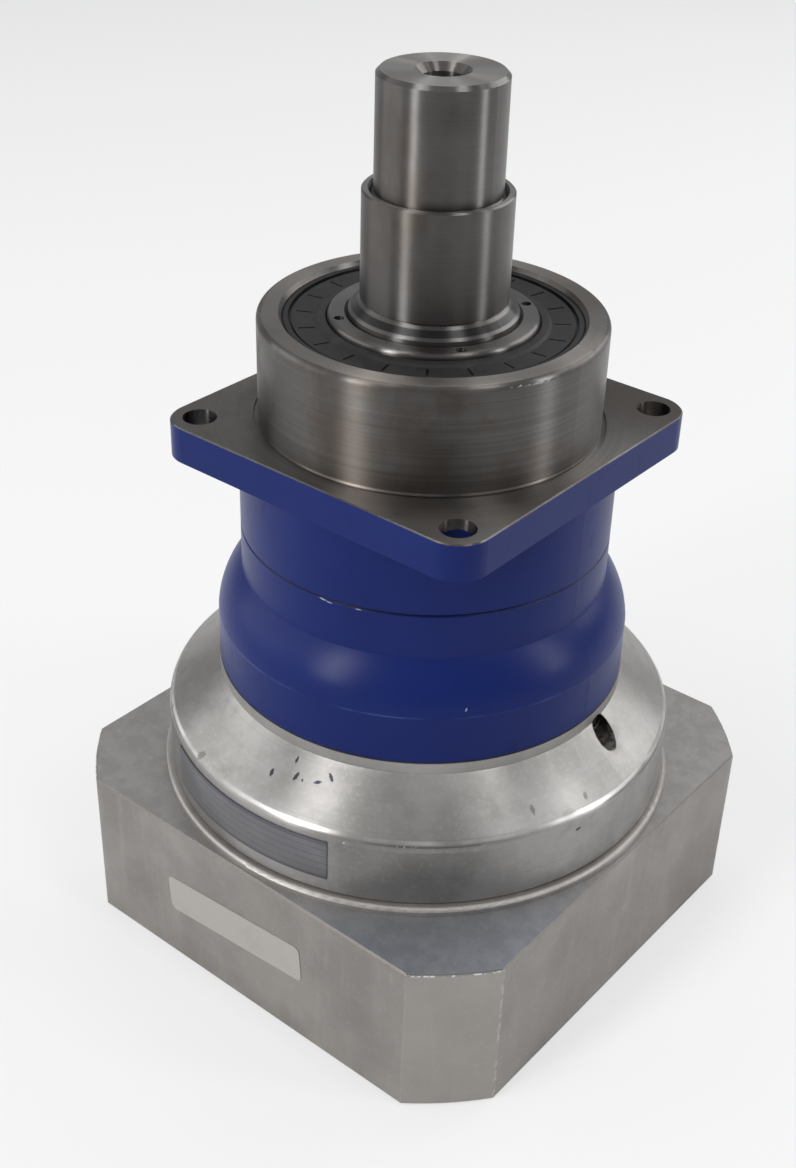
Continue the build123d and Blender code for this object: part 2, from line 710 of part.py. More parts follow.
def turned_on(plane, points, mode=Mode.ADD):
    """Turns a profile about the axis of a plane that lies square to the gearbox axis."""
    side = Plane(origin=plane.origin, x_dir=plane.x_dir, z_dir=plane.x_dir.cross(plane.z_dir))
    with BuildSketch(side) as profile:
        with BuildLine():
            Polyline(*points, close=True)
        make_face()
    revolve(profile.sketch, axis=Axis.Z, mode=mode)


def make_bearing_cone(bearing):
    low = bearing.roller_end(-1) - roller_foot_play
    high = bearing.roller_end(1) + roller_head_play
    low_r = bearing.raceway(-1, low, running_clearance)
    high_r = bearing.raceway(-1, high, running_clearance)
    small_rib_r = low_r + small_rib_share * bearing.roller_d
    large_rib_r = high_r + large_rib_share * bearing.roller_d
    with BuildPart() as inner_race:
        turned_on(bearing.plane, [
            (bearing.bore_r, race_edge), (small_rib_r, race_edge), (small_rib_r, low), (low_r, low),
            (high_r, high), (large_rib_r, high), (large_rib_r, bearing.width - race_edge),
            (large_rib_r - race_edge, bearing.width), (bearing.bore_r, bearing.width)])
    return inner_race


def make_bearing_cup(bearing):
    height = bearing.width - cup_setback
    with BuildPart() as outer_race:
        turned_on(bearing.plane, [
            (bearing.raceway(1, 0, running_clearance), 0), (bearing.outer_r, 0), (bearing.outer_r, height),
            (bearing.raceway(1, height, running_clearance), height)])
    return outer_race


def make_bearing_rollers(bearing):
    small_distance = bearing.slant - roller_length / 2
    large_distance = bearing.slant + roller_length / 2
    slope = tan(bearing.roller_cone)
    with BuildPart() as rollers:
        for number in range(bearing.roller_count):
            with Locations(bearing.roller_plane(number, bearing.slant)):
                Cone(small_distance * slope, large_distance * slope, roller_length)
    return rollers


def make_bearing_cage(bearing):
    low = bearing.roller_end(-1) - cage_foot
    high = bearing.roller_end(1) + cage_head
    slope = tan(roller_tilt)
    offset_r = cage_offset_share * bearing.roller_d
    thickness = cage_thickness_share * bearing.roller_d
    low_r = (low - bearing.apex) * slope + offset_r
    high_r = (high - bearing.apex) * slope + offset_r
    window_width = bearing.roller_d + cage_window_play
    window_length = roller_length + cage_window_play
    with BuildPart() as cage:
        turned_on(bearing.plane, [(low_r, low), (low_r + thickness, low),
                                  (high_r + thickness, high), (high_r, high)])
        for number in range(bearing.roller_count):
            with Locations(bearing.roller_plane(number, bearing.slant)):
                Box(window_width, bearing.roller_d, window_length, mode=Mode.SUBTRACT)
    return cage


# Planet group

def make_planet_gear(number):
    bore_r = planet_pin_d / 2 + needle_d + 2 * running_clearance
    with BuildPart() as planet_gear:
        with BuildSketch(planet_plane(number, planet_bottom)):
            draw_outer_teeth(planet_teeth)
            Circle(bore_r, mode=Mode.SUBTRACT)
        extrude(amount=planet_width)
    return planet_gear


def make_planet_pin(number):
    with BuildPart() as planet_pin:
        with BuildSketch(planet_plane(number, carrier_bottom)):
            Circle(planet_pin_d / 2)
        extrude(amount=carrier_top - carrier_bottom)
        chamfer(planet_pin.edges(), length=planet_pin_chamfer)
    return planet_pin


def make_planet_needles(number):
    circle_r = planet_pin_d / 2 + needle_d / 2 + running_clearance
    bottom = (planet_bottom + planet_top - needle_length) / 2
    with BuildPart() as planet_needles:
        with BuildSketch(planet_plane(number, bottom)):
            with PolarLocations(circle_r, needle_count):
                Circle(needle_d / 2)
        extrude(amount=needle_length)
    return planet_needles


def make_planet_washers():
    with BuildPart() as planet_washers:
        for number in range(planet_count):
            for height in (pocket_bottom, pocket_top - washer_thickness):
                with BuildSketch(planet_plane(number, height)):
                    Circle(washer_d / 2)
                    Circle(planet_pin_d / 2 + seat_clearance, mode=Mode.SUBTRACT)
                extrude(amount=washer_thickness)
    return planet_washers


# Input group

def make_sun_gear():
    with BuildPart() as sun_gear:
        half_pitch = degrees(pi / sun_teeth)
        space_on_planet = Plane.XY.offset(planet_bottom).rotated((0, 0, 90 + half_pitch))
        with BuildSketch(space_on_planet):
            draw_outer_teeth(sun_teeth)
        extrude(amount=planet_width)
        with BuildSketch(Plane.XY.offset(planet_bottom)):
            Circle(sun_shank_d / 2)
        extrude(amount=-sun_shank_length)
    return sun_gear


def make_input_hub():
    bore_r = motor_shaft_d / 2
    sleeve_r = hub_sleeve_d / 2
    seat_r = input_bearing_bore / 2 - seat_clearance
    shank_r = sun_shank_d / 2 + seat_clearance
    bore_top = hub_sleeve_end + motor_shaft_reach
    seat_top = circlip_top + circlip_land
    nose_top = planet_bottom - end_clearance
    collar_bottom = clamp_height + clamp_ring_width / 2 + end_clearance
    with BuildPart() as input_hub:
        turned([(bore_r, hub_sleeve_end), (sleeve_r, hub_sleeve_end), (sleeve_r, collar_bottom),
                (hub_collar_d / 2, collar_bottom), (hub_collar_d / 2, input_bearing_bottom),
                (seat_r, input_bearing_bottom), (seat_r, seat_top), (hub_nose_d / 2, seat_top),
                (hub_nose_d / 2, nose_top), (shank_r, nose_top), (shank_r, bore_top + hub_floor),
                (0, bore_top + hub_floor), (0, bore_top), (bore_r, bore_top)])
        turned_ring(seat_r - circlip_bite / 2, seat_r + cut_past, input_bearing_top,
                    circlip_top + thread_clearance, Mode.SUBTRACT)
        slot_height = collar_bottom - hub_slot_land - hub_sleeve_end
        with BuildSketch(Plane.XY.offset(hub_sleeve_end)):
            with PolarLocations(bore_r + hub_sleeve_wall / 2, hub_slot_count, start_angle=corner_turn):
                Rectangle(2 * hub_sleeve_wall, hub_slot_width)
        extrude(amount=slot_height, mode=Mode.SUBTRACT)
    return input_hub


def make_clamp_ring():
    bore_r = hub_sleeve_d / 2 + seat_clearance
    bottom = clamp_height - clamp_ring_width / 2
    slit_turn = access_bore_turn + 90
    with BuildPart() as clamp_ring:
        with BuildSketch(Plane.XY.offset(bottom)):
            Circle(clamp_ring_d / 2)
            Circle(bore_r, mode=Mode.SUBTRACT)
            with PolarLocations(clamp_ring_d / 4 + bore_r / 2, 1, start_angle=slit_turn):
                Rectangle(clamp_ring_d / 2, clamp_slit_width, mode=Mode.SUBTRACT)
        extrude(amount=clamp_ring_width)
        with BuildSketch(access_plane(clamp_screw_seat)):
            Circle(head_radius(clamp_screw_d) + hole_clearance)
        extrude(amount=clamp_ring_d, mode=Mode.SUBTRACT)
        with BuildSketch(access_plane(clamp_screw_seat)):
            Circle(clamp_screw_d / 2 + thread_clearance)
        extrude(amount=-clamp_screw_length - blind_end, mode=Mode.SUBTRACT)
    return clamp_ring


def make_clamp_screw():
    with BuildPart() as clamp_screw:
        with BuildSketch(access_plane(clamp_screw_seat)):
            Circle(head_radius(clamp_screw_d))
        extrude(amount=clamp_screw_d)
        with BuildSketch(access_plane(clamp_screw_seat)):
            Circle(clamp_screw_d / 2)
        extrude(amount=-clamp_screw_length)
        with BuildSketch(access_plane(clamp_screw_seat + clamp_screw_d)):
            RegularPolygon(socket_radius(clamp_screw_d), 6)
        extrude(amount=-clamp_screw_d / 2, mode=Mode.SUBTRACT)
    return clamp_screw


def make_input_race(side):
    """A race of the input ball bearing: side -1 is the inner one, +1 the outer one."""
    pitch_r = (input_bearing_bore + input_bearing_d) / 4
    wall_r = input_bearing_bore / 2 if side < 0 else input_bearing_d / 2
    middle = (input_bearing_bottom + input_bearing_top) / 2
    groove_r = input_ball_d / 2 + running_clearance
    groove_half = sqrt(groove_r ** 2 - race_land ** 2)
    land_r = pitch_r + side * race_land
    with BuildPart() as race:
        with BuildSketch(Plane.XZ):
            with BuildLine():
                Polyline((land_r, middle - groove_half), (land_r, input_bearing_bottom),
                         (wall_r, input_bearing_bottom), (wall_r, input_bearing_top),
                         (land_r, input_bearing_top), (land_r, middle + groove_half))
                ThreePointArc((land_r, middle + groove_half), (pitch_r + side * groove_r, middle),
                              (land_r, middle - groove_half))
            make_face()
        revolve(axis=Axis.Z)
    return race


def make_input_balls():
    pitch_r = (input_bearing_bore + input_bearing_d) / 4
    middle = (input_bearing_bottom + input_bearing_top) / 2
    with BuildPart(Plane.XY.offset(middle)) as balls:
        with PolarLocations(pitch_r, input_ball_count):
            Sphere(input_ball_d / 2)
    return balls


def make_input_cage():
    """A crown cage: a thin ring with a finger between each two balls."""
    pitch_r = (input_bearing_bore + input_bearing_d) / 4
    middle = (input_bearing_bottom + input_bearing_top) / 2
    half = ball_cage_thickness / 2
    pocket_floor = middle - input_ball_d / 2 - ball_play
    with BuildPart() as cage:
        turned_ring(pitch_r - half, pitch_r + half, pocket_floor - ball_cage_rim, middle + ball_cage_reach)
        with BuildSketch(Plane.XY.offset(pocket_floor)):
            with PolarLocations(pitch_r, input_ball_count):
                Rectangle(2 * ball_cage_thickness, input_ball_d + 2 * ball_play)
        extrude(amount=input_ball_d, mode=Mode.SUBTRACT)
    return cage


def make_input_shaft_seal():
    lip_r = hub_collar_d / 2 + running_clearance
    back = input_seal_bottom + input_seal_width
    with BuildPart() as input_shaft_seal:
        turned_seal(input_seal_outline, lip_r, input_seal_d / 2, back, input_seal_bottom)
    return input_shaft_seal


def make_circlip(inner_r, outer_r, turn):
    middle_r = (inner_r + outer_r) / 2
    with BuildPart() as circlip:
        with BuildSketch(Plane.XY.offset(input_bearing_top)):
            Circle(outer_r)
            Circle(inner_r, mode=Mode.SUBTRACT)
            with PolarLocations(middle_r, 1, start_angle=turn):
                Rectangle(2 * (outer_r - inner_r), circlip_gap, mode=Mode.SUBTRACT)
        extrude(amount=circlip_thickness)
    return circlip


# Fasteners

def make_cap_screws(thread_d, length, circle_d, seat):
    """Socket head cap screws on a circle, heads down, that point up from their seat."""
    head_bottom = seat - thread_d
    circle_r = circle_d / 2
    with BuildPart() as cap_screws:
        polar_discs(circle_r, screw_count, first_screw_turn, head_radius(thread_d), head_bottom, seat)
        polar_discs(circle_r, screw_count, first_screw_turn, thread_d / 2, seat, seat + length)
        with BuildSketch(Plane.XY.offset(head_bottom)):
            with PolarLocations(circle_r, screw_count, start_angle=first_screw_turn):
                RegularPolygon(socket_radius(thread_d), 6)
        extrude(amount=thread_d / 2, mode=Mode.SUBTRACT)
    return cap_screws


def make_dowel_pins():
    with BuildPart() as dowel_pins:
        polar_discs(dowel_circle_d / 2, 2, dowel_turn, dowel_d / 2,
                    bell_bottom - dowel_depth + end_clearance, bell_bottom + dowel_depth - end_clearance)
        chamfer(dowel_pins.edges(), length=dowel_chamfer)
    return dowel_pins


def write(piece, name):
    piece.part.label = name
    export_step(piece.part, f"parts/{name}.step")


def write_taper_bearing(bearing, name):
    write(make_bearing_cup(bearing), f"{name}_outer_race")
    write(make_bearing_cone(bearing), f"{name}_inner_race")
    write(make_bearing_rollers(bearing), f"{name}_rollers")
    write(make_bearing_cage(bearing), f"{name}_cage")


os.makedirs("parts", exist_ok=True)

write(make_motor_adapter_plate(), "motor_adapter_plate")
write(make_input_bell(), "input_bell")
write(make_ring_gear_housing(), "ring_gear_housing")
write(make_output_housing(), "output_housing")
write(make_ring_gear(), "ring_gear")
lower_o_ring, upper_o_ring = o_ring_heights()
write(make_o_ring(lower_o_ring), "lower_housing_o_ring")
write(make_o_ring(upper_o_ring), "upper_housing_o_ring")

write(make_output_shaft(), "output_shaft")
write(make_shaft_sleeve(), "shaft_sleeve")
write(make_shaft_nut(), "shaft_nut")
write(make_output_shaft_seal(), "output_shaft_seal")
front_plane = Plane.XY.offset(web_top)
rear_plane = Plane(origin=(0, 0, web_bottom), x_dir=(1, 0, 0), z_dir=(0, 0, -1))
front_bearing = TaperBearing(front_bearing_bore, front_bearing_d, front_bearing_width, front_plane)
rear_bearing = TaperBearing(rear_bearing_bore, rear_bearing_d, rear_bearing_width, rear_plane)
write_taper_bearing(front_bearing, "front_bearing")
write_taper_bearing(rear_bearing, "rear_bearing")

for planet in range(planet_count):
    write(make_planet_gear(planet), f"planet_gear_{planet + 1}")
    write(make_planet_pin(planet), f"planet_pin_{planet + 1}")
    write(make_planet_needles(planet), f"planet_needles_{planet + 1}")
write(make_planet_washers(), "planet_thrust_washers")

write(make_sun_gear(), "sun_gear")
write(make_input_hub(), "input_hub")
write(make_clamp_ring(), "clamp_ring")
write(make_clamp_screw(), "clamp_screw")
write(make_input_race(-1), "input_bearing_inner_race")
write(make_input_race(1), "input_bearing_outer_race")
write(make_input_balls(), "input_bearing_balls")
write(make_input_cage(), "input_bearing_cage")
write(make_input_shaft_seal(), "input_shaft_seal")
hub_groove_r = input_bearing_bore / 2 - circlip_bite / 2
housing_groove_r = input_bearing_d / 2 + circlip_bite
write(make_circlip(hub_groove_r, hub_groove_r + circlip_width, hub_circlip_turn), "hub_circlip")
write(make_circlip(housing_groove_r - circlip_width, housing_groove_r, housing_circlip_turn),
      "housing_circlip")

gearbox_screw_seat = bell_top - bell_web_thickness
write(make_cap_screws(plate_screw_d, plate_screw_length, plate_screw_circle_d, plate_screw_seat),
      "plate_screws")
write(make_cap_screws(gearbox_screw_d, gearbox_screw_length, gearbox_screw_circle_d, gearbox_screw_seat),
      "gearbox_screws")
write(make_dowel_pins(), "dowel_pins")
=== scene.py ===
import bpy
import json
from math import atan2, cos, pi, radians, sin
from mathutils import Matrix, Vector


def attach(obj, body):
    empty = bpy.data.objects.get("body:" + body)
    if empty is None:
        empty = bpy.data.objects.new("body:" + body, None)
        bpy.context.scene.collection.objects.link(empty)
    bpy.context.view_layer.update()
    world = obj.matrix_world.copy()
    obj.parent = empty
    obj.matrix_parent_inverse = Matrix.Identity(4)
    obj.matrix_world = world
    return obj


# Planetary gearbox, in metres. The motor adapter plate stands on the floor at z = 0.
# The output shaft points up, and the rating plate and the label face the camera.

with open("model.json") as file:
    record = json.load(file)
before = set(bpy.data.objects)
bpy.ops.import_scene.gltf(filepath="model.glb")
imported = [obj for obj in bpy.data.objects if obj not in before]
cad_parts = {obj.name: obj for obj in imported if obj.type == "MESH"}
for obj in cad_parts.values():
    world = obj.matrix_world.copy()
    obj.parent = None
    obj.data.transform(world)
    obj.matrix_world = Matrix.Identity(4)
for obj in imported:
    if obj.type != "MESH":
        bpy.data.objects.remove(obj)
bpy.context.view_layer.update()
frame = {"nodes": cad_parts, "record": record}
nodes = frame["nodes"]

mm = 0.001

# Places on the CAD parts, from the floor up. Heights are along the gearbox axis.
plate_half = 75 * mm
plate_top = 48 * mm
plate_corner_r = 94.5 * mm
boss_top = 50.5 * mm
skirt_r = 72 * mm
shoulder_height = 70.6 * mm
cone_slope = radians(51.2)
neck_r = 57.2 * mm
neck_bottom = 82.3 * mm
foot_top = 99.5 * mm
seam_height = 126.1 * mm
flange_bottom = 150 * mm
flange_face = 157 * mm
flange_hole_place = 42.43 * mm
flange_hole_r = 4.5 * mm
pilot_r = 45 * mm
pilot_relief_r = 47 * mm
pilot_land = 185.4 * mm
shaft_cone_bottom = 187.15 * mm
shaft_cone_top = 189.5 * mm
shaft_cone_r = 19.3 * mm
sleeve_lower_half = 195 * mm

# The access bore runs parallel to a line that is turned from +X, beside it
access_turn = radians(-12)
access_side = 17.4 * mm
access_start = 32.5 * mm
access_height = 79.5 * mm
access_r = 3.4 * mm
centre_thread_bottom = 219.5 * mm

access_thread = {"hole_r": access_r, "ridge": 0.35 * mm, "pitch": 1.25 * mm, "length": 22 * mm}
centre_thread = {"hole_r": 5.1 * mm, "ridge": 0.5 * mm, "pitch": 1.75 * mm, "length": 23 * mm}
thread_steps = 28

rating_start = radians(-117)
rating_end = radians(-69.8)
rating_bottom = 55.0 * mm
rating_top = 67.5 * mm
rating_middle = (rating_bottom + rating_top) / 2
rating_height = rating_top - rating_bottom
rating_rule_pitch = 2.3 * mm
foil_thickness = 0.3 * mm
foil_gap = 0.05 * mm
foil_bevel = 0.06 * mm
label_size = (50.3 * mm, 0.16 * mm, 11.7 * mm)
label_middle = (-3.45 * mm, -plate_half - 0.08 * mm, 25.1 * mm)
label_tilt = radians(-4.4)
label_corner_r = 1.8 * mm

# Each mark is its radius, height, turn in degrees, lean in degrees, length and width
cone_nicks = [
    (0.0643, 0.0764, -88.2, 100, 0.0025, 0.0014), (0.0597, 0.0802, -83.7, 92, 0.0026, 0.0010),
    (0.0629, 0.0775, -81.9, 80, 0.0031, 0.0013), (0.0625, 0.0779, -76.1, 25, 0.0029, 0.0011),
    (0.0608, 0.0793, -73.3, 130, 0.0031, 0.0012), (0.0720, 0.0661, -15.3, 20, 0.0024, 0.0009),
    (0.0631, 0.0773, -80.0, 110, 0.0010, 0.0007),
]
bell_smudges = [
    (0.0705, 0.0713, -107.9, 60, 0.0036, 0.0026), (0.0714, 0.0695, -128.6, 80, 0.0040, 0.0018),
    (0.0672, 0.0739, -25.1, 90, 0.0030, 0.0014), (0.0687, 0.0728, -11.4, 70, 0.0026, 0.0016),
    (0.0585, 0.0811, 5.0, 90, 0.0050, 0.0030),
]
shoulder_ticks = [
    (0.0711, 0.0700, -55.4, 85, 0.0020, 0.0005), (0.0711, 0.0700, -54.0, 95, 0.0022, 0.0005),
    (0.0711, 0.0700, -52.4, 88, 0.0018, 0.0005), (0.0711, 0.0701, -51.6, 92, 0.0022, 0.0004),
    (0.0717, 0.0688, -66.2, 40, 0.0024, 0.0005),
]
paint_scratches = [
    (0.0503, 0.1258, -82.4, -8, 0.0034, 0.0006), (0.0503, 0.1254, -79.8, -5, 0.0022, 0.0004),
    (0.0503, 0.1257, -70.5, 4, 0.0018, 0.0004), (0.0565, 0.1016, -39.9, 75, 0.0015, 0.0006),
]

# Grinding and turning marks run round the axis, so highlights stretch along it
grinding = {"Anisotropic": 0.96, "Anisotropic Rotation": 0.25}
turning = {"Anisotropic": 0.35, "Anisotropic Rotation": 0.25}
satin = {"Specular IOR Level": 0.15}

# Each lamp is its name, turn in degrees from +X, distance, height, width and length, and watts
lamps = [
    ("left_window", -99, 1.1, 0.6, (0.22, 0.8), 8.0),
    ("left_panel", -145, 1.2, 0.5, (1.1, 1.0), 5.6),
    ("left_strip", -109, 0.53, 1.15, (0.12, 0.5), 2.0),
    ("right_window", 23, 1.1, 0.5, (0.2, 0.8), 4.0),
    ("right_strip", 3, 0.51, 1.17, (0.14, 0.4), 1.9),
    ("right_panel", 72, 1.2, 0.8, (1.1, 0.9), 8.0),
    ("top_panel", 130, 0.6, 1.5, (0.9, 0.8), 5.0),
]
lamp_target = Vector((0, 0, 0.12))
sky_colour = (0.90, 0.91, 0.94)
sky_strength = 0.40
background_colour = (0.95, 0.95, 0.95)
# How much of the white background metal and glass reflect
mirror_share = 0.25
floor_width = 8.0
floor_gap = 0.2 * mm
floor_grey = (0.64, 0.64, 0.64)
floor_whitening = 0.58

camera_turn = radians(38.658)
camera_rise = radians(32.379)
camera_roll = radians(1.779)
camera_place = (0.23282, -0.30213, 0.34528)
camera_lens = 49.62


# Shader maths

class Number:
    """A socket that adds a Math node wherever it stands in an expression."""

    def __init__(self, tree, socket):
        self.tree = tree
        self.socket = socket

    def math(self, operation, *values):
        return self.tree.node("ShaderNodeMath", {"operation": operation}, dict(enumerate(values)))

    def __add__(self, other):
        return self.math("ADD", self, other)

    def __radd__(self, other):
        return self.math("ADD", other, self)

    def __sub__(self, other):
        return self.math("SUBTRACT", self, other)

    def __rsub__(self, other):
        return self.math("SUBTRACT", other, self)

    def __mul__(self, other):
        return self.math("MULTIPLY", self, other)

    def __rmul__(self, other):
        return self.math("MULTIPLY", other, self)

    def __pow__(self, other):
        return self.math("POWER", self, other)

    def __abs__(self):
        return self.math("ABSOLUTE", self)

    def sine(self):
        return self.math("SINE", self)

    def at_least(self, other):
        return self.math("MAXIMUM", self, other)

    def at_most(self, other):
        return self.math("MINIMUM", self, other)

    def rises(self, low, high):
        """0 below low, 1 above high, and a soft step between them."""
        return self.tree.node("ShaderNodeMapRange", {"interpolation_type": "SMOOTHSTEP"},
                              {"Value": self, "From Min": low, "From Max": high})

    def falls(self, low, high):
        """1 below low, 0 above high, and a soft step between them."""
        return 1 - self.rises(low, high)


class Nodes:
    """Adds nodes to one node tree."""

    def __init__(self, tree):
        self.tree = tree
        self.tree.nodes.clear()

    def node(self, kind, settings=None, inputs=None, output=0):
        added = self.tree.nodes.new(kind)
        for name, value in (settings or {}).items():
            setattr(added, name, value)
        for name, value in (inputs or {}).items():
            self.connect(added.inputs[name], value)
        return Number(self, added.outputs[output]) if added.outputs else None

    def connect(self, socket, value):
        if isinstance(value, Number):
            self.tree.links.new(value.socket, socket)
        elif isinstance(value, tuple) and len(value) == 3 and socket.type == "RGBA":
            socket.default_value = (*value, 1)
        else:
            socket.default_value = value

    def seen(self):
        """1 where the camera looks straight at it, and a share of that in metal and glass."""
        rays = self.node("ShaderNodeLightPath").socket.node
        camera, glossy, transmission = (
            Number(self, rays.outputs[name])
            for name in ("Is Camera Ray", "Is Glossy Ray", "Is Transmission Ray"))
        return camera.at_least(glossy.at_least(transmission) * mirror_share)


class Finish(Nodes):
    """A material that is built from the place on the object, in metres."""

    def __init__(self, name):
        self.material = bpy.data.materials.new(name)
        self.material.use_nodes = True
        super().__init__(self.material.node_tree)
        self.place = self.node("ShaderNodeTexCoord", output="Object")
        split = self.node("ShaderNodeSeparateXYZ", inputs={0: self.place}).socket.node
        self.x, self.y, self.z = (Number(self, split.outputs[axis]) for axis in range(3))
        self.radius = (self.x * self.x + self.y * self.y) ** 0.5

    def faces_up(self):
        """1 on a level face, 0 on a wall or a bevel."""
        normal = self.node("ShaderNodeNewGeometry", output="Normal")
        height = self.node("ShaderNodeSeparateXYZ", inputs={0: normal}, output="Z")
        return height.rises(0.93, 0.98)

    def vector(self, x, y, z):
        return self.node("ShaderNodeCombineXYZ", inputs={0: x, 1: y, 2: z})

    def noise(self, scale, detail=3.0, rough=0.55, where=None):
        """Even noise from 0 to 1, with scale in cycles per metre."""
        return self.node("ShaderNodeTexNoise", inputs={
            "Vector": where or self.place, "Scale": scale, "Detail": detail, "Roughness": rough})

    def stretched(self, x, y, z, detail=3.0, rough=0.55):
        """Noise with its own scale along each axis."""
        where = self.vector(self.x * x, self.y * y, self.z * z)
        return self.noise(1.0, detail, rough, where)

    def turned(self, fine, along, detail=3.0, rough=0.55):
        """Noise that runs round the gearbox axis, fine across the tool marks."""
        where = self.vector(self.radius * fine, self.z * fine, self.x * along)
        return self.node("ShaderNodeTexNoise", {"noise_dimensions": "4D"}, {
            "Vector": where, "W": self.y * along, "Scale": 1.0, "Detail": detail,
            "Roughness": rough})

    def mix(self, amount, first, second):
        """The first colour where amount is 0, the second where it is 1."""
        return self.node("ShaderNodeMix", {"data_type": "RGBA"},
                         {"Factor": amount, 6: first, 7: second}, output=2)

    def vector_math(self, operation, first, second=None, output=0):
        inputs = {0: first} if second is None else {0: first, 1: second}
        return self.node("ShaderNodeVectorMath", {"operation": operation}, inputs, output)

    def stroke(self, middle, direction, length, width):
        """1 inside a small ragged mark that is longer one way, 0 outside it."""
        offset = self.vector_math("SUBTRACT", self.place, tuple(middle))
        along = self.vector_math("DOT_PRODUCT", offset, tuple(direction), output="Value")
        away = self.vector_math("LENGTH", offset, output="Value")
        squeeze = 1 - (width / length) ** 2
        squeezed = (away * away - along * along * squeeze).at_least(0) ** 0.5
        ragged = self.noise(2200, 2.0) - 0.5
        return (squeezed + ragged * (0.5 * width)).falls(width * 0.35, width * 0.5)

    def mark(self, radius, height, turn, lean, length, width, slope):
        """A stroke on a turned surface that leans from the level, on a cone of that slope."""
        angle = radians(turn)
        outward = Vector((cos(angle), sin(angle), 0))
        round_it = Vector((-sin(angle), cos(angle), 0))
        up_it = outward * -sin(slope) + Vector((0, 0, cos(slope)))
        direction = round_it * cos(radians(lean)) + up_it * sin(radians(lean))
        return self.stroke(outward * radius + Vector((0, 0, height)), direction, length, width)

    def marks(self, places, slope=0.0):
        strokes = [self.mark(*place, slope) for place in places]
        most = strokes[0]
        for stroke in strokes[1:]:
            most = most.at_least(stroke)
        return most

    def bump(self, height, distance, strength):
        return self.node("ShaderNodeBump", inputs={
            "Height": height, "Distance": distance, "Strength": strength})

    def shader(self, colour, roughness, metallic, normal, fixed=None):
        return self.node("ShaderNodeBsdfPrincipled", inputs={
            "Base Color": colour, "Roughness": roughness, "Metallic": metallic,
            "Normal": normal, **(fixed or {})})

    def finish(self, shader):
        self.node("ShaderNodeOutputMaterial", inputs={"Surface": shader})
        return self.material


# Finishes

def make_ground_steel():
    """Ground steel with fine marks round the axis, a thin brown film in patches, a painted
    highlight on up-facing faces and painted shade on the shaft's shoulder cone.
    """
    dark, light = (0.068, 0.065, 0.064), (0.165, 0.158, 0.152)
    brown, painted_top_light, painted_recess_shade = (0.072, 0.053, 0.038), (0.30, 0.29, 0.275), (0.018, 0.018, 0.019)
    steel = Finish("dark_steel")
    rings = steel.turned(2600, 14, 2.0)
    cloud = steel.noise(55, 4.0)
    flattened = steel.vector(steel.x, steel.y, steel.z * 0.6)
    film = steel.noise(38, 5.0, 0.6, flattened).rises(0.5, 0.68)
    scuff = steel.stretched(900, 900, 60, 2.0).rises(0.66, 0.8)
    colour = steel.mix(cloud * 0.7 + rings * 0.3, dark, light)
    colour = steel.mix(film * 0.45, colour, brown)
    nut_face = steel.z.falls(sleeve_lower_half, sleeve_lower_half + 5 * mm)
    # Painted highlight: faces that face up are painted lighter, less so below the sleeve's lower
    # half on the nut's face
    colour = steel.mix(steel.faces_up() * (0.6 - nut_face * 0.5), colour, painted_top_light)
    # Painted shade: the shaft's shoulder cone between the sleeve and the nut is painted near black
    shaft_cone = (steel.z.rises(shaft_cone_bottom, shaft_cone_bottom + 0.25 * mm)
                  * steel.z.falls(shaft_cone_top - 0.3 * mm, shaft_cone_top)
                  * steel.radius.rises(shaft_cone_r, shaft_cone_r + 0.3 * mm))
    colour = steel.mix(shaft_cone * 0.8, colour, painted_recess_shade)
    rough = rings * 0.06 + cloud * 0.06 + film * 0.08 + scuff * 0.05 + 0.26
    normal = steel.bump(rings, 0.008 * mm, 0.25)
    return steel.finish(steel.shader(colour, rough, 1.0, normal, grinding))


def mask_bare_metal(paint):
    """1 where the output housing isn't painted: above the flange's sides and in its holes."""
    ragged_z = paint.z + paint.noise(900, 2.0) * (0.1 * mm)
    face = ragged_z.rises(flange_face - 0.35 * mm, flange_face - 0.15 * mm)
    relief = (paint.radius.falls(pilot_relief_r - 0.2 * mm, pilot_relief_r)
              * paint.z.rises(flange_face - 1.0 * mm, flange_face - 0.8 * mm))
    across = abs(paint.x) - flange_hole_place
    along = abs(paint.y) - flange_hole_place
    from_hole = (across ** 2 + along ** 2) ** 0.5
    front_hole = (paint.x - paint.y).rises(65 * mm, 75 * mm)
    paint_edge = (paint.noise(300, 3.0) * (1.8 * mm) + front_hole * (3.2 * mm)
                  + flange_bottom)
    drilled = (from_hole.falls(flange_hole_r + 0.1 * mm, flange_hole_r + 0.3 * mm)
               * (paint.z - paint_edge).rises(-0.2 * mm, 0.2 * mm))
    return face.at_least(relief).at_least(drilled)


